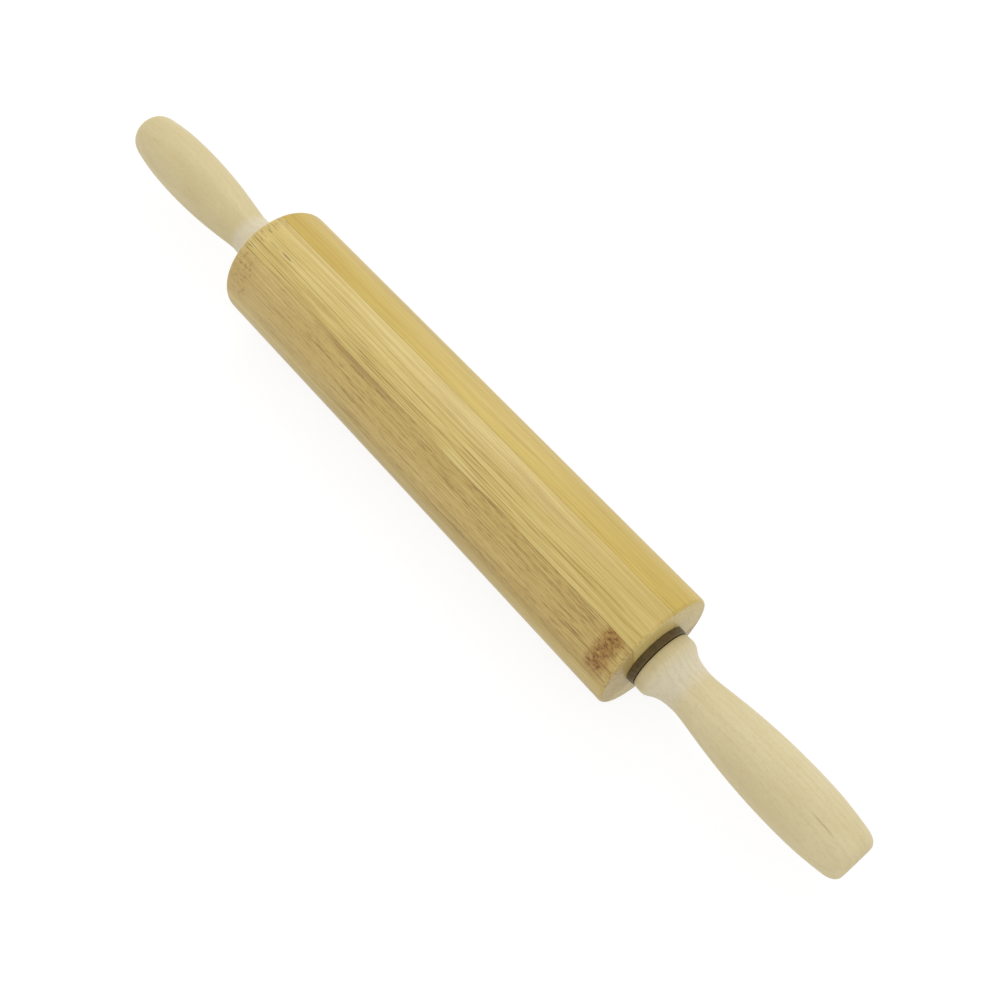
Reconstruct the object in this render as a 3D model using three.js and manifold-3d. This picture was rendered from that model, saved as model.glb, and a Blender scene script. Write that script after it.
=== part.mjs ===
// Revolving rolling pin: a bamboo barrel that spins on a steel axle between two turned wooden handles.
// Millimetres, +Z up. The pin lies along X, and the origin is under the middle of the barrel.
import * as THREE from 'three';
import { mergeVertices } from 'three/addons/utils/BufferGeometryUtils.js';
import Module from 'manifold-3d';

const wasm = await Module();
wasm.setup();

// Barrel, turned from a blank that is glued up from three by three bamboo strips
const barrelDiameter = 50;
const barrelLength = 223;
const barrelRimRadius = 1.5; // rounding of the two end edges
const coreStripWidth = 18.5; // side of the square strip in the middle of the blank
const turningAllowance = 1.5; // wood turned away from each side of the square blank
const glueLine = 0.2; // gap between neighbouring strips
const blankTurn = THREE.MathUtils.degToRad(7.5); // the blank's turn about the axis, as it lies at rest
const barrelBoreDiameter = 11; // clears the axle between the bushings

// Bushings, pressed into the barrel's ends
const flangeDiameter = 25.6;
const flangeThickness = 2.7;
const flangeEdgeRadius = 0.5;
const sleeveDiameter = 15;
const sleeveLength = 16;
const sleeveChamfer = 0.8;
const bushingMouthChamfer = 0.4; // at both ends of the bushing's own bore

// Axle, fixed in both handles
const axleDiameter = 8;
const axleInHandle = 58; // how far each end reaches into its handle
const axleChamfer = 0.8;

// Handle profile, with distances measured from the collar's face
const handleLength = 90.5;
const collarFaceDiameter = 24.2;
const collarDiameter = 25.2;
const collarAt = 3.4;
const neckDiameter = 17.9;
const neckAt = 16.8;
const bellyDiameter = 24.7;
const bellyAt = 59;
const tipShoulderDiameter = 20.9;
const tipShoulderAt = 85;
const tipShoulderSlope = 0.16; // how steeply the profile falls where the end's rounding starts
const tipFlatDiameter = 12;
const drillPointAngle = THREE.MathUtils.degToRad(118); // of the blind hole's conical bottom

// Clearances
const pressClearance = 0.15; // between pieces that are pressed or glued together
const radialRunningClearance = 0.15; // between the axle and the bushings
const endFloat = 0.3; // between each bushing's flange and its handle's collar

// Facets around the turned pieces: multiples of four, so that a flat faces up, down, front and back
const barrelFacets = 64;
const handleFacets = 40;
const bushingFacets = 40;
const axleFacets = 24;
const curveSteps = 7;
const roundingSteps = 4;

// How far the profile's curves pull at each end, as shares of the stretch that they span
const collarPull = 0.27;
const neckPullToCollar = 0.8;
const neckPullToBelly = 0.1;
const bellyPullToNeck = 0.53;
const bellyPullToTip = 0.5;
const tipPull = 0.3;

const axisHeight = barrelDiameter / 2;
const barrelEnd = barrelLength / 2;
const collarFace = barrelEnd + pressClearance + flangeThickness + endFloat;
const axleLength = 2 * (collarFace + axleInHandle);
const blankSide = barrelDiameter + 2 * turningAllowance;
const seatDiameter = sleeveDiameter + 2 * pressClearance;
const seatDepth = sleeveLength + pressClearance;

const finishes = {
  paleBamboo: { color: '#d8c07e', roughness: 0.5, metalness: 0 },
  goldenBamboo: { color: '#cfae57', roughness: 0.45, metalness: 0 },
  tanBamboo: { color: '#c3a15f', roughness: 0.55, metalness: 0 },
  paleWood: { color: '#dfd0a8', roughness: 0.6, metalness: 0 },
  brownNylon: { color: '#554a35', roughness: 0.5, metalness: 0 },
  brightSteel: { color: '#b9bcc0', roughness: 0.3, metalness: 1 },
};

// One closed skin: shared corners merged, and the empty triangles at a turned piece's poles left out
function closedSkin(geometry) {
  const bare = geometry.clone();
  bare.deleteAttribute('normal');
  bare.deleteAttribute('uv');
  const merged = mergeVertices(bare, 1e-4);
  const corners = merged.index.array;
  const kept = [];
  for (let i = 0; i < corners.length; i += 3) {
    const [a, b, c] = corners.slice(i, i + 3);
    if (a !== b && b !== c && c !== a) kept.push(a, b, c);
  }
  merged.setIndex(kept);
  merged.computeVertexNormals();
  return merged;
}

// Turns a profile of (distance from the axis, distance along it) about X, with its flats at the true radius
function turned(profile, facets) {
  const toCorner = 1 / Math.cos(Math.PI / facets);
  const points = profile.map((point) => new THREE.Vector2(point.x * toCorner, point.y));
  const lathe = new THREE.LatheGeometry(points, facets, Math.PI / facets);
  return closedSkin(lathe.rotateZ(-Math.PI / 2));
}

function toSolid(geometry) {
  const vertProperties = new Float32Array(geometry.attributes.position.array);
  const triVerts = new Uint32Array(geometry.index.array);
  return new wasm.Manifold(new wasm.Mesh({ numProp: 3, vertProperties, triVerts }));
}

function toGeometry(solid) {
  const mesh = solid.getMesh();
  const geometry = new THREE.BufferGeometry();
  geometry.setAttribute('position', new THREE.BufferAttribute(mesh.vertProperties, 3));
  geometry.setIndex(new THREE.BufferAttribute(mesh.triVerts, 1));
  geometry.computeVertexNormals();
  return geometry;
}

function piece(name, geometry, finish) {
  const mesh = new THREE.Mesh(geometry, new THREE.MeshStandardMaterial(finish));
  mesh.name = name;
  return mesh;
}

// The finished barrel's outside, as it leaves the lathe
function barrelOutside() {
  const radius = barrelDiameter / 2;
  const flat = radius - barrelRimRadius;
  const straight = barrelEnd - barrelRimRadius;
  const outline = new THREE.Path();
  outline.moveTo(0, -barrelEnd);
  outline.lineTo(flat, -barrelEnd);
  outline.absarc(flat, -straight, barrelRimRadius, -Math.PI / 2, 0);
  outline.lineTo(radius, straight);
  outline.absarc(flat, straight, barrelRimRadius, 0, Math.PI / 2);
  outline.lineTo(0, barrelEnd);
  return toSolid(turned(outline.getPoints(roundingSteps), barrelFacets));
}

// What the drill takes out: the axle's way through and a bushing's seat at each end
function barrelBore() {
  const past = 1;
  const seat = seatDiameter / 2;
  const bore = barrelBoreDiameter / 2;
  const seatBottom = barrelEnd - seatDepth;
  const outline = new THREE.Path();
  outline.moveTo(0, -barrelEnd - past);
  outline.lineTo(seat, -barrelEnd - past);
  outline.lineTo(seat, -seatBottom);
  outline.lineTo(bore, -seatBottom);
  outline.lineTo(bore, seatBottom);
  outline.lineTo(seat, seatBottom);
  outline.lineTo(seat, barrelEnd + past);
  outline.lineTo(0, barrelEnd + past);
  return toSolid(turned(outline.getPoints(), bushingFacets));
}

// Lower and upper limit of a strip across the blank: place is -1, 0 or 1
function stripSpan(place) {
  const inner = coreStripWidth / 2;
  if (place === 0) return [-inner, inner];
  const outer = [inner + glueLine, blankSide / 2];
  return place > 0 ? outer : [-outer[1], -outer[0]];
}

function barrelStrip(outside, bore, across, upward) {
  const [frontSide, backSide] = stripSpan(across);
  const [underside, topSide] = stripSpan(upward);
  const bar = new THREE.BoxGeometry(barrelLength + 2, backSide - frontSide, topSide - underside);
  bar.translate(0, (frontSide + backSide) / 2, (underside + topSide) / 2);
  bar.rotateX(blankTurn);
  return toGeometry(toSolid(closedSkin(bar)).intersect(outside).subtract(bore));
}

// A flanged bushing for the right end, with x measured from the barrel's end face
function bushing() {
  const flange = flangeDiameter / 2;
  const sleeve = sleeveDiameter / 2;
  const bore = axleDiameter / 2 + radialRunningClearance;
  const inside = pressClearance;
  const outside = pressClearance + flangeThickness;
  const outline = new THREE.Path();
  outline.moveTo(bore + bushingMouthChamfer, -sleeveLength);
  outline.lineTo(sleeve - sleeveChamfer, -sleeveLength);
  outline.lineTo(sleeve, -sleeveLength + sleeveChamfer);
  outline.lineTo(sleeve, inside);
  outline.lineTo(flange, inside);
  outline.lineTo(flange, outside - flangeEdgeRadius);
  outline.absarc(flange - flangeEdgeRadius, outside - flangeEdgeRadius, flangeEdgeRadius, 0, Math.PI / 2);
  outline.lineTo(bore + bushingMouthChamfer, outside);
  outline.lineTo(bore, outside - bushingMouthChamfer);
  outline.lineTo(bore, -sleeveLength + bushingMouthChamfer);
  outline.lineTo(bore + bushingMouthChamfer, -sleeveLength);
  return turned(outline.getPoints(roundingSteps), bushingFacets);
}

function axleRod() {
  const radius = axleDiameter / 2;
  const end = axleLength / 2;
  const outline = new THREE.Path();
  outline.moveTo(0, -end);
  outline.lineTo(radius - axleChamfer, -end);
  outline.lineTo(radius, -end + axleChamfer);
  outline.lineTo(radius, end - axleChamfer);
  outline.lineTo(radius - axleChamfer, end);
  outline.lineTo(0, end);
  return turned(outline.getPoints(), axleFacets);
}

// A handle for the right end, with x measured from its collar's face and a blind hole for the axle
function handle() {
  const hole = axleDiameter / 2 + pressClearance;
  const holeDepth = axleInHandle + pressClearance;
  const drillPoint = holeDepth + hole / Math.tan(drillPointAngle / 2);
  const collar = collarDiameter / 2;
  const neck = neckDiameter / 2;
  const belly = bellyDiameter / 2;
  const shoulder = tipShoulderDiameter / 2;
  const tipFlat = tipFlatDiameter / 2;
  const toNeck = neckAt - collarAt;
  const toBelly = bellyAt - neckAt;
  const toTip = tipShoulderAt - bellyAt;
  const tipLength = handleLength - tipShoulderAt;
  const tipReach = tipPull * toTip;
  const outline = new THREE.Path();
  outline.moveTo(0, drillPoint);
  outline.lineTo(hole, holeDepth);
  outline.lineTo(hole, 0);
  outline.lineTo(collarFaceDiameter / 2, 0);
  outline.quadraticCurveTo(collar, 0, collar, collarAt);
  outline.bezierCurveTo(collar, collarAt + collarPull * toNeck,
    neck, neckAt - neckPullToCollar * toNeck, neck, neckAt);
  outline.bezierCurveTo(neck, neckAt + neckPullToBelly * toBelly,
    belly, bellyAt - bellyPullToNeck * toBelly, belly, bellyAt);
  outline.bezierCurveTo(belly, bellyAt + bellyPullToTip * toTip,
    shoulder + tipShoulderSlope * tipReach, tipShoulderAt - tipReach, shoulder, tipShoulderAt);
  outline.quadraticCurveTo(shoulder - tipShoulderSlope * tipLength, handleLength, tipFlat, handleLength);
  outline.lineTo(0, handleLength);
  return turned(outline.getPoints(curveSteps), handleFacets);
}

// Where each strip lies in the blank, seen from the right end: -1 is front or bottom, 1 is back or top
const strips = [
  { name: 'strip_core', across: 0, upward: 0, finish: finishes.paleBamboo },
  { name: 'strip_top', across: 0, upward: 1, finish: finishes.paleBamboo },
  { name: 'strip_top_back', across: 1, upward: 1, finish: finishes.goldenBamboo },
  { name: 'strip_back', across: 1, upward: 0, finish: finishes.paleBamboo },
  { name: 'strip_bottom_back', across: 1, upward: -1, finish: finishes.tanBamboo },
  { name: 'strip_bottom', across: 0, upward: -1, finish: finishes.goldenBamboo },
  { name: 'strip_bottom_front', across: -1, upward: -1, finish: finishes.paleBamboo },
  { name: 'strip_front', across: -1, upward: 0, finish: finishes.goldenBamboo },
  { name: 'strip_top_front', across: -1, upward: 1, finish: finishes.tanBamboo },
];

const rollingPin = new THREE.Group();
rollingPin.position.z = axisHeight;

const barrel = new THREE.Group();
const outside = barrelOutside();
const bore = barrelBore();
for (const { name, across, upward, finish } of strips) {
  barrel.add(piece(name, barrelStrip(outside, bore, across, upward), finish));
}
const handles = new THREE.Group();
handles.add(piece('axle', axleRod(), finishes.brightSteel));

// The right end, and the left end as the same pieces turned half round about Z
for (const { side, turn } of [{ side: 'right', turn: 0 }, { side: 'left', turn: Math.PI }]) {
  const barrelSide = new THREE.Group();
  barrelSide.rotation.z = turn;
  const endBushing = piece(`bushing_${side}`, bushing(), finishes.brownNylon);
  endBushing.position.x = barrelEnd;
  barrelSide.add(endBushing);
  barrel.add(barrelSide);

  const handleSide = new THREE.Group();
  handleSide.rotation.z = turn;
  const endHandle = piece(`handle_${side}`, handle(), finishes.paleWood);
  endHandle.position.x = collarFace;
  handleSide.add(endHandle);
  handles.add(handleSide);
}
rollingPin.add(barrel, handles);

export default rollingPin;
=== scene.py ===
# Rolling pin: a glued bamboo barrel on brown nylon bushings, between two turned handles of pale wood
import math

import bpy
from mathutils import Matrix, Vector


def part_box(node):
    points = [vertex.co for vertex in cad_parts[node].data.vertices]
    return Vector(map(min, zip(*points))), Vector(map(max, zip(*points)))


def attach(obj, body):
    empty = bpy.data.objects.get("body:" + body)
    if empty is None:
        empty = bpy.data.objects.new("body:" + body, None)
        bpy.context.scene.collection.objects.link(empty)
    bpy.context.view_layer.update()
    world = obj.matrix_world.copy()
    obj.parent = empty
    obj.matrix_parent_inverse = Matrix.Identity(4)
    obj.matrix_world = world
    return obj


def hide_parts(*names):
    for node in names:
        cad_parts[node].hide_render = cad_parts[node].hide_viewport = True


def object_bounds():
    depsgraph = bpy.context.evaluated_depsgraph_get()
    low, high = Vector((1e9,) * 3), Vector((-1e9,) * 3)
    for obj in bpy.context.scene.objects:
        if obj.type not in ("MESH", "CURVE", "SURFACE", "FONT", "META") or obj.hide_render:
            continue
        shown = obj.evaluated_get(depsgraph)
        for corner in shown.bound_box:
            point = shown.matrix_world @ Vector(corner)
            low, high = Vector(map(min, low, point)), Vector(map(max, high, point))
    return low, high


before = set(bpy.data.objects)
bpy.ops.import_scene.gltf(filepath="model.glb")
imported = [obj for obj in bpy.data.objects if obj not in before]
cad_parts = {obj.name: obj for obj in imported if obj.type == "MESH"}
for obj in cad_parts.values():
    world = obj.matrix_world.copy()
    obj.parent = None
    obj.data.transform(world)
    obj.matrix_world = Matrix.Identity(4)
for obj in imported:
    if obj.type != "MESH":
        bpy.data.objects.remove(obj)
cadLow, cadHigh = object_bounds()
print("frame loaded:", len(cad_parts), "solids")

mm = 0.001
soft = {"interpolation_type": "SMOOTHSTEP"}  # for a mask without a hard edge
noiseSpan = (0.3, 0.7)  # nearly all values of a noise lie between these
axisHeight = (cadLow.z + cadHigh.z) / 2
barrelRadius = axisHeight - cadLow.z
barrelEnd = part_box("strip_top")[1].x
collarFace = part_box("handle_right")[0].x


# Small helpers
def linear(hexCode):  # sRGB hex to the linear colour that a socket takes
    shares = [int(hexCode[i:i + 2], 16) / 255 for i in (1, 3, 5)]
    return [s / 12.92 if s <= 0.04045 else ((s + 0.055) / 1.055) ** 2.4 for s in shares] + [1.0]


def addNode(tree, kind, inputs=(), out=0, **settings):  # a socket is linked, any other value is set
    node = tree.nodes.new(kind)
    for key, value in settings.items():
        setattr(node, key, value)
    for key, value in inputs.items() if isinstance(inputs, dict) else enumerate(inputs):
        if isinstance(value, bpy.types.NodeSocket):
            tree.links.new(value, node.inputs[key])
        else:
            node.inputs[key].default_value = value
    return node.outputs[out] if node.outputs else None


def newMaterial(name):
    material = bpy.data.materials.new(name)
    material.use_nodes = True
    return material, material.node_tree, material.node_tree.nodes["Principled BSDF"]


def pinPoint(tree, turn=0.0):  # object coordinates about the pin's axis, turned with the glued blank
    place = addNode(tree, "ShaderNodeTexCoord", out="Object")
    inputs = {"Vector": place, "Location": (0, 0, axisHeight), "Rotation": (turn, 0, 0)}
    return addNode(tree, "ShaderNodeMapping", inputs, vector_type="TEXTURE")


def drawnPattern(tree, point, shift, size, stretch=1.0, detail=2.0, roughness=0.5):
    # blobs of a real size, drawn out along the pin and shifted, so that no two pieces look alike
    inputs = {"Vector": point, "Location": shift, "Scale": (1 / stretch, 1, 1)}
    place = addNode(tree, "ShaderNodeMapping", inputs)
    inputs = {"Vector": place, "Scale": 1 / size, "Detail": detail, "Roughness": roughness}
    return addNode(tree, "ShaderNodeTexNoise", inputs)


def softBand(tree, value, middle, half):  # one near the middle and nothing beyond the half width
    away = addNode(tree, "ShaderNodeMath", [value, middle], operation="SUBTRACT")
    away = addNode(tree, "ShaderNodeMath", [away], operation="ABSOLUTE")
    fullTo = 0.3 * half
    return addNode(tree, "ShaderNodeMapRange", [away, half, fullTo, 0.0, 1.0], **soft)


def paintMarks(tree, colour, marks):  # each mark is (masks that are multiplied, strength, hex colour)
    for masks, strength, tint in marks:
        share = strength
        for mask in masks:
            share = addNode(tree, "ShaderNodeMath", [mask, share], operation="MULTIPLY")
        inputs = {0: share, 6: colour, 7: linear(tint)}
        colour = addNode(tree, "ShaderNodeMix", inputs, 2, data_type="RGBA")
    return colour


def seenDirectly(tree):  # one for what the camera sees, also in a reflection or through glass
    ray = addNode(tree, "ShaderNodeLightPath").node.outputs
    seen = [ray["Is Camera Ray"], ray["Is Glossy Ray"]]
    seen = addNode(tree, "ShaderNodeMath", seen, operation="MAXIMUM")
    return addNode(tree, "ShaderNodeMath", [seen, ray["Is Transmission Ray"]], operation="MAXIMUM")


def dress(piece, node, body):  # the piece stands for a solid and rides on its body
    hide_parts(node)
    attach(piece, body)


def smooth(mesh, sharpAngle):
    mesh.shade_smooth()
    mesh.set_sharp_from_angle(angle=math.radians(sharpAngle))


# Camera and light
view = {
    "position": (0.20015, -0.14474, 0.43737),
    "aim": (0.03138, -0.00177, 0.025),
    "lens": 45.81,
    "keyFrom": (-0.41, 0.52, 0.90), "keySize": 0.45, "keyPower": 2.3,
    "sideFrom": (-0.48, 1.18, 0.30), "sideSize": 0.5, "sidePower": 1.3,
    "worldStrength": 0.90,
    "floorHalf": 3.0, "floorGlow": 0.85, "floorSeen": "#7a7a7a", "floorBounce": "#ebebe8",
}


def aimed(name, data, position, target):
    item = bpy.data.objects.new(name, data)
    bpy.context.scene.collection.objects.link(item)
    item.location = position
    item.rotation_euler = (Vector(target) - Vector(position)).to_track_quat("-Z", "Y").to_euler()
    return item


def areaLamp(name, position, size, power):
    lamp = bpy.data.lights.new(name, "AREA")
    lamp.shape = "DISK"
    lamp.size = size
    lamp.energy = power
    return aimed(name, lamp, position, (0, 0, axisHeight))


def studioFloor():
    # White paper: the eye sees it glow to white with a soft shadow, and the pin gets only its plain bounce
    material, tree, plainSkin = newMaterial("whitePaper")
    tree.nodes.remove(plainSkin)
    glow = addNode(tree, "ShaderNodeEmission", {"Strength": view["floorGlow"]})
    paper = addNode(tree, "ShaderNodeBsdfDiffuse", {"Color": linear(view["floorSeen"])})
    bounce = addNode(tree, "ShaderNodeBsdfDiffuse", {"Color": linear(view["floorBounce"])})
    lit = addNode(tree, "ShaderNodeAddShader", [glow, paper])
    result = addNode(tree, "ShaderNodeMixShader", [seenDirectly(tree), bounce, lit])
    tree.links.new(result, tree.nodes["Material Output"].inputs["Surface"])
    half = view["floorHalf"]
    mesh = bpy.data.meshes.new("floor")
    corners = [(-half, -half, 0), (half, -half, 0), (half, half, 0), (-half, half, 0)]
    mesh.from_pydata(corners, [], [(0, 1, 2, 3)])
    mesh.materials.append(material)
    floor = bpy.data.objects.new("floor", mesh)
    bpy.context.scene.collection.objects.link(floor)


def studio():
    scene = bpy.context.scene
    scene.view_settings.view_transform = "Standard"
    cameraData = bpy.data.cameras.new("camera")
    cameraData.lens = view["lens"]
    scene.camera = aimed("camera", cameraData, view["position"], view["aim"])
    areaLamp("keyLamp", view["keyFrom"], view["keySize"], view["keyPower"])
    areaLamp("sideLamp", view["sideFrom"], view["sideSize"], view["sidePower"])
    world = bpy.data.worlds.new("studioWorld")
    scene.world = world
    world.use_nodes = True
    tree = world.node_tree
    strength = [seenDirectly(tree), 0.0, 1.0, view["worldStrength"], 1.0]
    strength = addNode(tree, "ShaderNodeMapRange", strength)
    background = tree.nodes["Background"]
    background.inputs["Color"].default_value = (1, 1, 1, 1)
    tree.links.new(strength, background.inputs["Strength"])
    studioFloor()


studio()
print("camera, lamps and floor set")


# Bamboo strips of the barrel
barrel = {
    "rimRadius": 1.5 * mm,
    "coreWidth": 18.5 * mm,
    "blankSide": 53 * mm,
    "jointGap": 0.06 * mm,
    "turn": math.radians(7.5),
    "facets": 224,
    "rimSteps": 8,
}

paleTone = {"dark": "#96763a", "mid": "#cbb368", "light": "#e2d195", "sawn": "#cfbe80",
            "slot": "bamboo_pale"}
goldenTone = {"dark": "#9c7a30", "mid": "#c2a74c", "light": "#d5bf70", "sawn": "#cfbe80",
              "slot": "bamboo_golden"}
tanTone = {"dark": "#856530", "mid": "#c1a55d", "light": "#d6c083", "sawn": "#a38f56",
           "slot": "bamboo_tan"}
frontTone = {"dark": "#8c6c34", "mid": "#bfa65c", "light": "#d4c07e", "sawn": "#b29e62",
             "slot": "bamboo_golden"}

# across and upward give a strip's place in the blank: -1 is front or bottom, 1 is back or top
# lines and flecks say how strongly these show, and shift gives each strip a pattern of its own
# nodes, trails, speckles, dashes and stains hold (place along the pin, half width, strength)
# cracks hold (place along, half length, place across, strength), and fade (from, to, colour, strength)
# lineSide and nodeReach hold the places across between which the lines or a node's mark come in
strips = {
    "strip_top": {
        "across": 0, "upward": 1, **paleTone, "lines": 0.74, "flecks": 0.1, "shift": (0.3, 0.11, 0.27),
        "lineSide": (4 * mm, -6 * mm), "dashes": [(-108 * mm, 3.5 * mm, 0.45)],
        "fade": (20 * mm, 110 * mm, "#b99c48", 0.3),
        "cracks": [(-92.7 * mm, 4.2 * mm, -1.1 * mm, 0.7), (-100 * mm, 4.5 * mm, -1.4 * mm, 0.4)]},
    "strip_top_back": {
        "across": 1, "upward": 1, **goldenTone, "lines": 0.18, "flecks": 0.08, "shift": (1.7, 0.43, 0.61),
        "fade": (30 * mm, -100 * mm, "#b69628", 0.35)},
    "strip_back": {
        "across": 1, "upward": 0, **paleTone, "lines": 0.45, "flecks": 0.2, "shift": (2.9, 0.87, 0.15),
        "nodes": [(-52 * mm, 3.4 * mm, 0.5)]},
    "strip_bottom_back": {
        "across": 1, "upward": -1, **tanTone, "lines": 0.3, "flecks": 0.5, "shift": (3.1, 0.25, 0.93)},
    "strip_bottom": {
        "across": 0, "upward": -1, **goldenTone, "lines": 0.25, "flecks": 0.12, "shift": (4.3, 0.71, 0.37),
        "nodes": [(61 * mm, 3.4 * mm, 0.6)]},
    "strip_bottom_front": {
        "across": -1, "upward": -1, **paleTone, "lines": 0.5, "flecks": 0.2, "shift": (5.7, 0.13, 0.49)},
    "strip_front": {
        "across": -1, "upward": 0, **frontTone, "lines": 0.3, "flecks": 0.2, "shift": (6.1, 0.59, 0.81)},
    "strip_top_front": {
        "across": -1, "upward": 1, **tanTone, "lines": 0.45, "flecks": 0.5, "shift": (7.9, 0.37, 0.05),
        "stains": [(-35 * mm, 32 * mm, 0.55)], "fade": (-50 * mm, -105 * mm, "#cbb275", 0.45),
        "nodes": [(103.6 * mm, 5.7 * mm, 0.9)], "nodeReach": (-23.5 * mm, -20.5 * mm),
        "trails": [(90 * mm, 13 * mm, 0.5)], "speckles": [(-104 * mm, 8 * mm, 0.7)]},
}

# each layer's size across the fibres and its stretch along them
# the finest ones are drawn coarser than they really are, to show in a render
bambooLayers = {
    "clouds": {"size": 8 * mm, "stretch": 20},
    "streaks": {"size": 1.5 * mm, "stretch": 60},
    "fibres": {"size": 0.32 * mm, "stretch": 90, "detail": 3.0, "roughness": 0.6},
    "bundles": {"size": 0.45 * mm, "stretch": 60, "detail": 1.0},  # dots on an end and lines along a side
    "flecks": {"size": 0.42 * mm, "stretch": 11, "detail": 1.0},
    "blotches": {"size": 1.3 * mm, "stretch": 1.3, "detail": 3.0, "roughness": 0.65},
    "trails": {"size": 0.5 * mm, "stretch": 24, "detail": 1.0},
}

# where each mask starts and is full, in the layer's own values
bambooCuts = {
    "darkLines": (0.54, 0.66), "paleLines": (0.45, 0.33), "flecks": (0.52, 0.66), "dots": (0.5, 0.62),
    "patchy": (0.35, 0.6), "wash": (0.34, 0.56), "clumps": (0.52, 0.66), "trails": (0.58, 0.66),
    "dashes": (0.54, 0.62),
}

bambooFinish = {
    "swings": {"clouds": 0.5, "streaks": 0.45, "fibres": 0.9},  # how far each layer moves the tone
    "darkLines": -0.4, "paleLines": 0.25, "flecks": -0.4, "crowdLeast": 0.3,
    "stains": "#86622c", "trails": "#7f5d2b", "dashes": "#73561f", "cracks": "#6b4c20",
    "nodes": [(0.9, "#8b5a0a"), (0.9, "#603a00")],  # share and colour of the wash and of its clumps
    "speckles": [(0.4, "#b58f44"), (0.7, "#87672a")],
    "washLeast": 0.5, "raggedBy": 8 * mm, "stainHalf": 3 * mm, "crackHalf": 0.4 * mm,
    "sawnDepth": (0.6 * mm, 0.1 * mm), "sawnShare": 0.5, "sawnDots": 0.4,
    "roughness": (0.44, 0.36), "bumpStrength": 0.4, "endBumpStrength": 0.08, "bumpDepth": 0.04 * mm,
}


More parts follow.
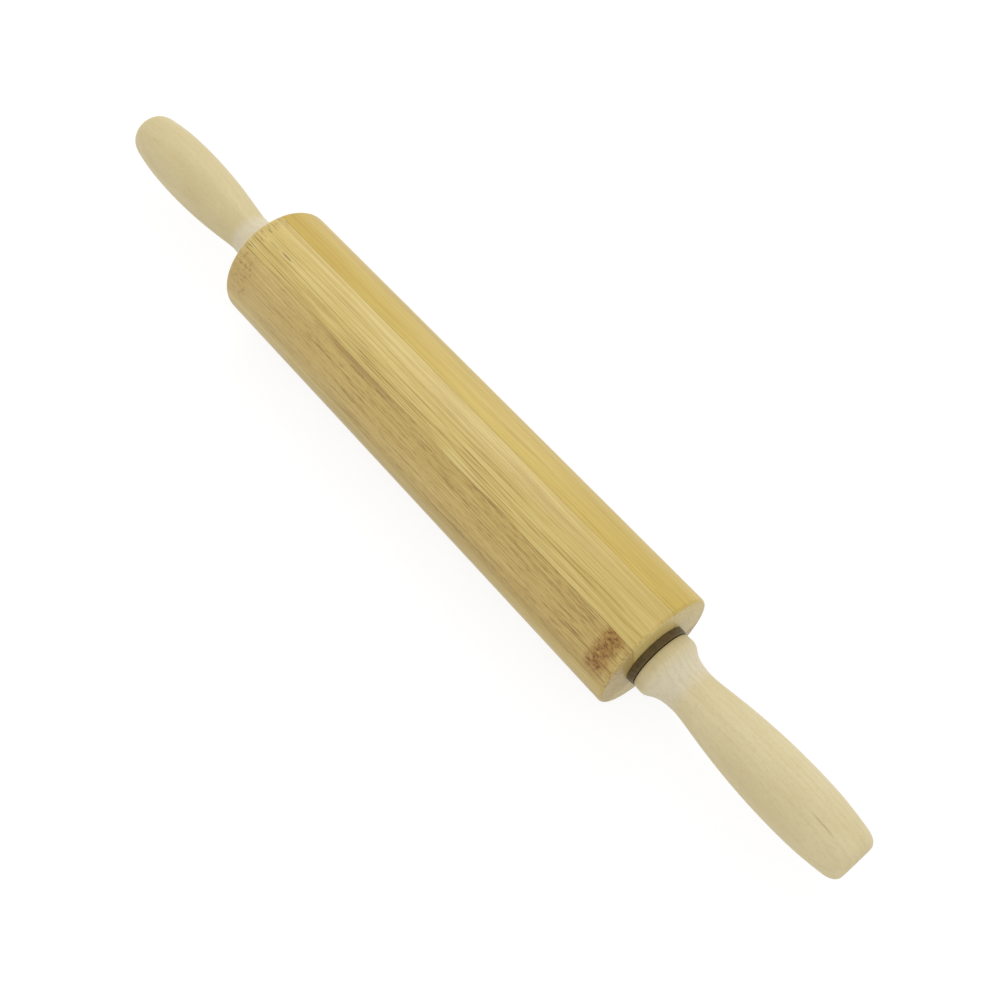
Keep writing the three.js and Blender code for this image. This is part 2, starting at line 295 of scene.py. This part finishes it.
def bamboo(name, look):
    # Turned and sanded bamboo: long fine fibre lines, short dark flecks where bundles are cut,
    # a blotched red-brown band at a node, a dull sheen, and sawn ends with fine dots
    material, tree, skin = newMaterial(name)
    finish = bambooFinish
    point = pinPoint(tree, barrel["turn"])
    along, across = addNode(tree, "ShaderNodeSeparateXYZ", [point]).node.outputs[:2]
    layers = {}
    marks = []

    def layer(kind):  # made once, when it is first asked for
        if kind not in layers:
            layers[kind] = drawnPattern(tree, point, look["shift"], **bambooLayers[kind])
        return layers[kind]

    def cut(kind, mask, low=0.0, high=1.0):  # goes from low to high as the layer passes the mask's values
        inputs = [layer(kind), *bambooCuts[mask], low, high]
        return addNode(tree, "ShaderNodeMapRange", inputs, **soft)

    def blotch(masks, kind, strength):  # a wash of colour with darker clumps in it
        spots = [cut("blotches", "wash", finish["washLeast"]), cut("blotches", "clumps")]
        for spot, (share, tint) in zip(spots, finish[kind]):
            marks.append((masks + [spot], share * strength, tint))

    darkLines = cut("bundles", "darkLines", 0.0, look["lines"])
    paleLines = cut("bundles", "paleLines", 0.0, look["lines"])
    if "lineSide" in look:  # the lines crowd toward one side of the strip
        crowd = [across, *look["lineSide"], finish["crowdLeast"], 1.0]
        crowd = addNode(tree, "ShaderNodeMapRange", crowd, **soft)
        darkLines = addNode(tree, "ShaderNodeMath", [darkLines, crowd], operation="MULTIPLY")
        paleLines = addNode(tree, "ShaderNodeMath", [paleLines, crowd], operation="MULTIPLY")
    weighed = [(layer(kind), swing) for kind, swing in finish["swings"].items()]
    weighed += [(darkLines, finish["darkLines"]), (paleLines, finish["paleLines"])]
    weighed += [(cut("flecks", "flecks", 0.0, look["flecks"]), finish["flecks"])]
    tone = 0.5 - sum(finish["swings"].values()) / 2  # a layer swings about one half
    for pattern, weight in weighed:
        tone = addNode(tree, "ShaderNodeMath", [pattern, weight, tone], operation="MULTIPLY_ADD")
    colour = addNode(tree, "ShaderNodeValToRGB", [tone])
    stops = colour.node.color_ramp.elements
    stops[0].color = linear(look["dark"])
    stops[1].color = linear(look["light"])
    stops.new(0.5).color = linear(look["mid"])

    if "fade" in look:
        start, end, tint, strength = look["fade"]
        faded = addNode(tree, "ShaderNodeMapRange", [along, start, end, 0.0, 1.0])
        marks.append(([faded], strength, tint))
    for middle, half, strength in look.get("stains", []):  # along the joint with the strip beside it
        joint = softBand(tree, across, -barrel["coreWidth"] / 2, finish["stainHalf"])
        masks = [cut("streaks", "patchy"), joint, softBand(tree, along, middle, half)]
        marks.append((masks, strength, finish["stains"]))
    for middle, half, strength in look.get("nodes", []):
        ragged = addNode(tree, "ShaderNodeMath", [layer("clouds"), 0.5], operation="SUBTRACT")
        ragged = [ragged, finish["raggedBy"], along]
        ragged = addNode(tree, "ShaderNodeMath", ragged, operation="MULTIPLY_ADD")
        masks = [softBand(tree, ragged, middle, half)]
        if "nodeReach" in look:  # the mark ends partway across the strip
            inside = [across, *look["nodeReach"], 0.0, 1.0]
            masks.append(addNode(tree, "ShaderNodeMapRange", inside, **soft))
        blotch(masks, "nodes", strength)
    for middle, half, strength in look.get("speckles", []):
        blotch([softBand(tree, along, middle, half)], "speckles", strength)
    for mark, kind in (("trails", "trails"), ("dashes", "flecks")):
        for middle, half, strength in look.get(mark, []):
            masks = [softBand(tree, along, middle, half), cut(kind, mark)]
            marks.append((masks, strength, finish[mark]))
    for middle, half, side, strength in look.get("cracks", []):
        masks = [softBand(tree, along, middle, half), softBand(tree, across, side, finish["crackHalf"])]
        marks.append((masks, strength, finish["cracks"]))
    endward = addNode(tree, "ShaderNodeMath", [along], operation="ABSOLUTE")
    sawnFrom, sawnFull = [barrelEnd - depth for depth in finish["sawnDepth"]]
    sawn = addNode(tree, "ShaderNodeMapRange", [endward, sawnFrom, sawnFull, 0.0, 1.0], **soft)
    marks.append(([sawn], finish["sawnShare"], look["sawn"]))
    marks.append(([sawn, cut("bundles", "dots")], finish["sawnDots"], look["dark"]))
    tree.links.new(paintMarks(tree, colour, marks), skin.inputs["Base Color"])

    sheen = [layer("streaks"), *noiseSpan, *finish["roughness"]]
    tree.links.new(addNode(tree, "ShaderNodeMapRange", sheen), skin.inputs["Roughness"])
    rimStart = barrelEnd - barrel["rimRadius"]  # the relief is weaker from here to the end
    strengths = [finish["bumpStrength"], finish["endBumpStrength"]]
    strength = [endward, rimStart - barrel["rimRadius"], rimStart, *strengths]
    strength = addNode(tree, "ShaderNodeMapRange", strength)
    relief = {"Height": tone, "Strength": strength, "Distance": finish["bumpDepth"]}
    tree.links.new(addNode(tree, "ShaderNodeBump", relief), skin.inputs["Normal"])
    return material


def stripTree():  # the turned outside of the barrel, met with one square bar of the blank
    tree = bpy.data.node_groups.new("gluedStrip", "GeometryNodeTree")
    sockets = {"Diameter": "Float", "Length": "Float", "Rim Radius": "Float", "Bar Low": "Vector",
               "Bar High": "Vector", "Turn": "Vector", "Axis": "Vector", "Material": "Material"}
    for name, kind in sockets.items():
        tree.interface.new_socket(name, in_out="INPUT", socket_type="NodeSocket" + kind)
    tree.interface.new_socket("Strip", in_out="OUTPUT", socket_type="NodeSocketGeometry")
    given = addNode(tree, "NodeGroupInput").node.outputs

    # a line of points through both rims, each with its place along the axis and its radius
    steps = barrel["rimSteps"]
    last = 2 * steps + 1
    index = addNode(tree, "GeometryNodeInputIndex")
    fromEnd = addNode(tree, "ShaderNodeMath", [last, index], operation="SUBTRACT")
    step = addNode(tree, "ShaderNodeMath", [index, fromEnd], operation="MINIMUM")
    angle = addNode(tree, "ShaderNodeMath", [step, math.pi / 2 / steps], operation="MULTIPLY")
    side = addNode(tree, "ShaderNodeMath", [index, last / 2], operation="SUBTRACT")
    side = addNode(tree, "ShaderNodeMath", [side], operation="SIGN")
    inset = addNode(tree, "ShaderNodeMath", [angle], operation="COSINE")
    inset = addNode(tree, "ShaderNodeMath", [1.0, inset], operation="SUBTRACT")
    inset = addNode(tree, "ShaderNodeMath", [inset, given["Rim Radius"]], operation="MULTIPLY")
    half = addNode(tree, "ShaderNodeMath", [given["Length"], 0.5], operation="MULTIPLY")
    reach = addNode(tree, "ShaderNodeMath", [half, inset], operation="SUBTRACT")
    reach = addNode(tree, "ShaderNodeMath", [side, reach], operation="MULTIPLY")
    flat = addNode(tree, "ShaderNodeMath", [given["Diameter"], 0.5], operation="MULTIPLY")
    flat = addNode(tree, "ShaderNodeMath", [flat, given["Rim Radius"]], operation="SUBTRACT")
    radius = addNode(tree, "ShaderNodeMath", [angle], operation="SINE")
    radius = addNode(tree, "ShaderNodeMath", [radius, given["Rim Radius"], flat], operation="MULTIPLY_ADD")
    line = addNode(tree, "GeometryNodeMeshLine", {"Count": last + 1})
    place = addNode(tree, "ShaderNodeCombineXYZ", [reach])
    line = addNode(tree, "GeometryNodeSetPosition", {"Geometry": line, "Position": place})
    path = addNode(tree, "GeometryNodeMeshToCurve", {"Mesh": line})
    inputs = {"Resolution": barrel["facets"], "Radius": 1.0}
    circle = addNode(tree, "GeometryNodeCurvePrimitiveCircle", inputs)
    inputs = {"Curve": path, "Profile Curve": circle, "Scale": radius, "Fill Caps": True}
    outside = addNode(tree, "GeometryNodeCurveToMesh", inputs)

    corners = [given["Bar High"], given["Bar Low"]]
    size = addNode(tree, "ShaderNodeVectorMath", corners, operation="SUBTRACT")
    middle = addNode(tree, "ShaderNodeVectorMath", corners, operation="ADD")
    middle = addNode(tree, "ShaderNodeVectorMath", {0: middle, "Scale": 0.5}, operation="SCALE")
    bar = addNode(tree, "GeometryNodeMeshCube", {"Size": size})
    bar = addNode(tree, "GeometryNodeTransform", {"Geometry": bar, "Translation": middle})
    bar = addNode(tree, "GeometryNodeTransform", {"Geometry": bar, "Rotation": given["Turn"]})
    strip = addNode(tree, "GeometryNodeMeshBoolean", {"Mesh 2": outside}, operation="INTERSECT")
    tree.links.new(bar, strip.node.inputs["Mesh 2"])
    strip = addNode(tree, "GeometryNodeTransform", {"Geometry": strip, "Translation": given["Axis"]})
    strip = addNode(tree, "GeometryNodeRealizeInstances", {"Geometry": strip})
    strip = addNode(tree, "GeometryNodeSetMaterial", {"Geometry": strip, "Material": given["Material"]})
    addNode(tree, "NodeGroupOutput", [strip])
    return tree


def span(place):  # a strip's two limits across the blank
    inner = barrel["coreWidth"] / 2
    if place == 0:
        return -inner, inner
    near, far = inner + barrel["jointGap"], barrel["blankSide"] / 2
    return (near, far) if place > 0 else (-far, -near)


def makeStrips():
    tree = stripTree()
    sharpAngle = 35
    barReach = 2 * barrelEnd  # past the turned ends
    for node, look in strips.items():
        place = "".join(word.capitalize() for word in node.split("_")[1:])
        low, high = zip((-barReach, barReach), span(look["across"]), span(look["upward"]))
        values = {"Diameter": 2 * barrelRadius, "Length": 2 * barrelEnd, "Rim Radius": barrel["rimRadius"],
                  "Bar Low": low, "Bar High": high, "Turn": (barrel["turn"], 0.0, 0.0),
                  "Axis": (0.0, 0.0, axisHeight), "Material": bamboo("bamboo" + place, look)}
        piece = bpy.data.objects.new("bambooStrip" + place, bpy.data.meshes.new("blank"))
        bpy.context.scene.collection.objects.link(piece)
        modifier = piece.modifiers.new("gluedStrip", "NODES")
        modifier.node_group = tree
        for item in tree.interface.items_tree:
            if item.in_out == "INPUT":
                modifier[item.identifier] = values[item.name]
        shaped = piece.evaluated_get(bpy.context.evaluated_depsgraph_get())
        mesh = bpy.data.meshes.new_from_object(shaped)
        piece.modifiers.clear()
        piece.data = mesh
        smooth(mesh, sharpAngle)
        dress(piece, node, "barrel")
        print("strip", node, len(mesh.polygons), "faces")


makeStrips()


# Turned pieces: handles and bushings
def curve(points, steps):  # a Bezier stretch without its first point
    def at(share, row):
        if len(row) == 1:
            return row[0]
        return at(share, [a.lerp(b, share) for a, b in zip(row, row[1:])])
    row = [Vector(p) for p in points]
    return [tuple(at(i / steps, row)) for i in range(1, steps + 1)]


def turnedMesh(name, profile, facets, closed, place, flip):
    # profile holds (distance along, radius)
    # it runs from pole to pole or, if closed, round the section of a hollow piece
    verts = []
    rings = []
    for alongAxis, radius in profile:
        count = facets if radius > 0 else 1
        rings.append([len(verts) + i for i in range(count)])
        for i in range(count):
            angle = 2 * math.pi * i / facets
            x = place + alongAxis
            y, z = radius * math.sin(angle), radius * math.cos(angle)
            verts.append((-x, -y, z + axisHeight) if flip else (x, y, z + axisHeight))
    pairs = list(zip(rings, rings[1:]))
    if closed:
        pairs.append((rings[-1], rings[0]))
    faces = []
    for first, second in pairs:
        for i in range(facets):
            j = (i + 1) % facets
            corners = [second[i % len(second)], second[j % len(second)]]
            corners += [first[j % len(first)], first[i % len(first)]]
            faces.append(list(dict.fromkeys(corners)))
    mesh = bpy.data.meshes.new(name)
    mesh.from_pydata(verts, [], faces)
    return mesh


def turnedPiece(name, mesh, material):
    sharpAngle = 40
    smooth(mesh, sharpAngle)
    mesh.materials.append(material)
    piece = bpy.data.objects.new(name, mesh)
    bpy.context.scene.collection.objects.link(piece)
    return piece


# the pulls say how far a curve of the profile is held at each end, as a share of the stretch that it spans
handle = {
    "length": 90.5 * mm,
    "holeRadius": 4.15 * mm, "holeDepth": 58.15 * mm, "drillPoint": 60.6 * mm,
    "faceRadius": 12.1 * mm,
    "collarRadius": 12.6 * mm, "collarAt": 3.4 * mm, "collarPull": 0.27,
    "neckRadius": 8.95 * mm, "neckAt": 16.8 * mm, "neckPullToCollar": 0.8, "neckPullToBelly": 0.1,
    "bellyRadius": 12.35 * mm, "bellyAt": 59 * mm, "bellyPullToNeck": 0.53, "bellyPullToTip": 0.5,
    "shoulderRadius": 10.45 * mm, "shoulderAt": 85 * mm, "shoulderSlope": 0.16, "tipPull": 0.3,
    "flatRadius": 6 * mm,
    "facets": 128, "steps": {"collar": 8, "neck": 22, "belly": 36, "shoulder": 24, "tip": 14},
}

# streak holds (place along the pin, half length, place across, strength)
handleWoods = {
    "Right": {"light": "#d7c99e", "mid": "#d0c193", "shift": (0.2, 0.3, 0.1),
              "pith": (0.0, 24 * mm, -17 * mm), "streak": (190 * mm, 6 * mm, -3.1 * mm, 0.38)},
    "Left": {"light": "#d1c295", "mid": "#c9b989", "shift": (1.4, 0.7, 0.5),
             "pith": (0.0, -19 * mm, 21 * mm)},
}

woodFinish = {
    "clouds": {"size": 14 * mm, "stretch": 3},
    "fibres": {"size": 0.8 * mm, "stretch": 30, "detail": 3.0, "roughness": 0.6},
    "specks": {"size": 0.7 * mm, "stretch": 2.5, "detail": 3.0, "roughness": 0.7},
    "yearSpacing": 2.4 * mm, "yearStretch": 8, "yearTilt": math.radians(9), "yearWaver": 1.5,
    "hollowAt": 13.5 * mm, "hollowHalf": 8 * mm,  # a pale band in the collar's hollow, partly paler wood and partly painted highlight, measured from the barrel's end
    "endDepth": 0.6 * mm, "streakHalf": 0.4 * mm, "streakFrom": 4 * mm,
    "hollowHighlight": "#dad2c1", "year": "#bca775", "fibre": "#b3a06c", "speck": "#ac9866", "streak": "#96804f",
    "hollowHighlightShare": 0.5, "yearShare": 0.12, "endYearShare": 0.35, "fibreShare": 0.2, "speckShare": 0.22,
    "yearCut": (0.4, 1.0), "fibreCut": (0.5, 0.75), "speckCut": (0.48, 0.72),
    "roughness": 0.48, "bumpStrength": 0.3, "bumpDepth": 0.04 * mm,
}


def handleProfile():
    h = handle
    steps = h["steps"]
    toNeck = h["neckAt"] - h["collarAt"]
    toBelly = h["bellyAt"] - h["neckAt"]
    toTip = h["shoulderAt"] - h["bellyAt"]
    tip = h["length"] - h["shoulderAt"]
    reach = h["tipPull"] * toTip
    face = (0, h["faceRadius"])
    collar = (h["collarAt"], h["collarRadius"])
    neck = (h["neckAt"], h["neckRadius"])
    belly = (h["bellyAt"], h["bellyRadius"])
    shoulder = (h["shoulderAt"], h["shoulderRadius"])
    profile = [(h["drillPoint"], 0), (h["holeDepth"], h["holeRadius"]), (0, h["holeRadius"]), face]
    profile += curve([face, (0, collar[1]), collar], steps["collar"])
    leaves = (collar[0] + h["collarPull"] * toNeck, collar[1])
    arrives = (neck[0] - h["neckPullToCollar"] * toNeck, neck[1])
    profile += curve([collar, leaves, arrives, neck], steps["neck"])
    leaves = (neck[0] + h["neckPullToBelly"] * toBelly, neck[1])
    arrives = (belly[0] - h["bellyPullToNeck"] * toBelly, belly[1])
    profile += curve([neck, leaves, arrives, belly], steps["belly"])
    leaves = (belly[0] + h["bellyPullToTip"] * toTip, belly[1])
    arrives = (shoulder[0] - reach, shoulder[1] + h["shoulderSlope"] * reach)
    profile += curve([belly, leaves, arrives, shoulder], steps["shoulder"])
    corner = (h["length"], shoulder[1] - h["shoulderSlope"] * tip)
    profile += curve([shoulder, corner, (h["length"], h["flatRadius"])], steps["tip"])
    return profile + [(h["length"], 0)]


def paleWood(name, look):
    # Turned and sanded pale wood such as birch: almost plain cream, with faint year rings that the turning
    # cuts into long ovals, fine specks along the grain, a dry unvarnished surface, and a pale band in the
    # collar's hollow that is partly the wood's own tone and partly painted highlight
    material, tree, skin = newMaterial(name)
    finish = woodFinish
    point = pinPoint(tree)
    along, across, upward = addNode(tree, "ShaderNodeSeparateXYZ", [point]).node.outputs
    endward = addNode(tree, "ShaderNodeMath", [along], operation="ABSOLUTE")
    clouds = drawnPattern(tree, point, look["shift"], **finish["clouds"])
    fibres = drawnPattern(tree, point, look["shift"], **finish["fibres"])
    specks = drawnPattern(tree, point, look["shift"], **finish["specks"])

    # year rings about the tree's pith, which lies beside the handle and a little askew
    inputs = {"Vector": point, "Location": look["pith"], "Rotation": (0, 0, finish["yearTilt"]),
              "Scale": (1 / finish["yearStretch"], 1, 1)}
    place = addNode(tree, "ShaderNodeMapping", inputs)
    wavesPerUnit = 20 / math.tau  # of a Wave node at scale one
    inputs = {"Vector": place, "Scale": 1 / (wavesPerUnit * finish["yearSpacing"]),
              "Distortion": finish["yearWaver"], "Detail": 2.0}
    years = addNode(tree, "ShaderNodeTexWave", inputs, "Fac", wave_type="RINGS", rings_direction="X")
    tipEnd = cadHigh.x
    endFace = [endward, tipEnd - finish["endDepth"], tipEnd, 0.0, 1.0]
    endFace = addNode(tree, "ShaderNodeMapRange", endFace)

    # painted highlight in part: the pale band in the collar's hollow is partly the wood's own paler tone
    # and partly light painted into the colour
    paintedHighlight = softBand(tree, endward, barrelEnd + finish["hollowAt"], finish["hollowHalf"])
    paleClouds = addNode(tree, "ShaderNodeMapRange", [clouds, *noiseSpan, 0.0, 1.0], **soft)
    years = addNode(tree, "ShaderNodeMapRange", [years, *finish["yearCut"], 0.0, 1.0], **soft)
    fineLines = addNode(tree, "ShaderNodeMapRange", [fibres, *finish["fibreCut"], 0.0, 1.0], **soft)
    specks = addNode(tree, "ShaderNodeMapRange", [specks, *finish["speckCut"], 0.0, 1.0], **soft)
    marks = [
        ([paleClouds], 1.0, look["light"]),
        # the pale band of the collar's hollow: paler wood and painted highlight
        ([paintedHighlight], finish["hollowHighlightShare"], finish["hollowHighlight"]),
        ([years], finish["yearShare"], finish["year"]),
        ([years, endFace], finish["endYearShare"], finish["year"]),
        ([fineLines], finish["fibreShare"], finish["fibre"]),
        ([specks], finish["speckShare"], finish["speck"]),
    ]
    if "streak" in look:  # a short dark line of grain on the upper side
        middle, half, side, strength = look["streak"]
        masks = [softBand(tree, along, middle, half), softBand(tree, across, side, finish["streakHalf"])]
        masks.append(addNode(tree, "ShaderNodeMapRange", [upward, 0.0, finish["streakFrom"], 0.0, 1.0]))
        marks.append((masks, strength, finish["streak"]))
    tree.links.new(paintMarks(tree, linear(look["mid"]), marks), skin.inputs["Base Color"])
    skin.inputs["Roughness"].default_value = finish["roughness"]
    relief = {"Height": fibres, "Strength": finish["bumpStrength"], "Distance": finish["bumpDepth"]}
    tree.links.new(addNode(tree, "ShaderNodeBump", relief), skin.inputs["Normal"])
    return material


def makeHandles():
    profile = handleProfile()
    for side, look in handleWoods.items():
        name = "turnedHandle" + side
        mesh = turnedMesh(name, profile, handle["facets"], False, collarFace, side == "Left")
        piece = turnedPiece(name, mesh, paleWood("paleWood" + side, look))
        dress(piece, "handle_" + side.lower(), "handles")
        print("handle", side, len(mesh.polygons), "faces")


makeHandles()

bushing = {
    "flangeRadius": 12.8 * mm, "flangeFrom": 0.05 * mm, "flangeTo": 2.85 * mm, "edgeRadius": 0.5 * mm,
    "sleeveRadius": 7.5 * mm, "sleeveLength": 16 * mm, "sleeveChamfer": 0.8 * mm,
    "boreRadius": 4.15 * mm, "mouthChamfer": 0.4 * mm,
    "facets": 128, "edgeSteps": 6,
    "dark": "#4b3b12", "light": "#604d1c", "mottle": 1.5 * mm, "mouldGrain": 0.3 * mm,
    "roughness": 0.45, "bumpStrength": 0.2, "bumpDepth": 0.03 * mm,
}


def bushingProfile():
    b = bushing
    inner = -b["sleeveLength"]
    mouth = b["boreRadius"] + b["mouthChamfer"]
    edge = (b["flangeTo"] - b["edgeRadius"], b["flangeRadius"])
    top = (b["flangeTo"], b["flangeRadius"] - b["edgeRadius"])
    profile = [(inner, mouth), (inner, b["sleeveRadius"] - b["sleeveChamfer"])]
    profile += [(inner + b["sleeveChamfer"], b["sleeveRadius"]), (b["flangeFrom"], b["sleeveRadius"])]
    profile += [(b["flangeFrom"], b["flangeRadius"]), edge]
    profile += curve([edge, (top[0], edge[1]), top], b["edgeSteps"])
    profile += [(top[0], mouth), (top[0] - b["mouthChamfer"], b["boreRadius"])]
    return profile + [(inner + b["mouthChamfer"], b["boreRadius"])]


def brownNylon():
    # Dark brown moulded nylon: a plain satin surface with a faint mould texture
    material, tree, skin = newMaterial("brownNylon")
    point = pinPoint(tree)
    mottle = drawnPattern(tree, point, (0, 0, 0), bushing["mottle"], detail=3.0)
    mottle = addNode(tree, "ShaderNodeMapRange", [mottle, *noiseSpan, 0.0, 1.0], **soft)
    colour = paintMarks(tree, linear(bushing["dark"]), [([mottle], 1.0, bushing["light"])])
    tree.links.new(colour, skin.inputs["Base Color"])
    skin.inputs["Roughness"].default_value = bushing["roughness"]
    mouldGrain = drawnPattern(tree, point, (0, 0, 0), bushing["mouldGrain"])
    relief = {"Height": mouldGrain, "Strength": bushing["bumpStrength"], "Distance": bushing["bumpDepth"]}
    tree.links.new(addNode(tree, "ShaderNodeBump", relief), skin.inputs["Normal"])
    return material


def makeBushings():
    material = brownNylon()
    profile = bushingProfile()
    for side in ("Right", "Left"):
        name = "nylonBushing" + side
        mesh = turnedMesh(name, profile, bushing["facets"], True, barrelEnd, side == "Left")
        dress(turnedPiece(name, mesh, material), "bushing_" + side.lower(), "barrel")
    print("bushings made")


makeBushings()

# Core strip and axle keep their solids and get their finish
core = {**paleTone, "lines": 0.4, "flecks": 0.3, "shift": (8.3, 0.21, 0.66)}
axle = {"dark": "#a9acb0", "light": "#c9ccd0", "drawLine": 0.4 * mm, "drawStretch": 80,
        "roughness": (0.25, 0.4)}


def drawnSteel():
    # Bright drawn steel rod: fine draw lines along its length
    material, tree, skin = newMaterial("drawnSteel")
    lines = drawnPattern(tree, pinPoint(tree), (0, 0, 0), axle["drawLine"], axle["drawStretch"])
    colour = paintMarks(tree, linear(axle["dark"]), [([lines], 1.0, axle["light"])])
    tree.links.new(colour, skin.inputs["Base Color"])
    skin.inputs["Metallic"].default_value = 1.0
    gloss = addNode(tree, "ShaderNodeMapRange", [lines, *noiseSpan, *axle["roughness"]])
    tree.links.new(gloss, skin.inputs["Roughness"])
    return material


def refinish(node, material):
    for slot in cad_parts[node].material_slots:
        slot.material = material


refinish("strip_core", bamboo("bambooCore", core))
refinish("axle", drawnSteel())
print("core and axle finished")
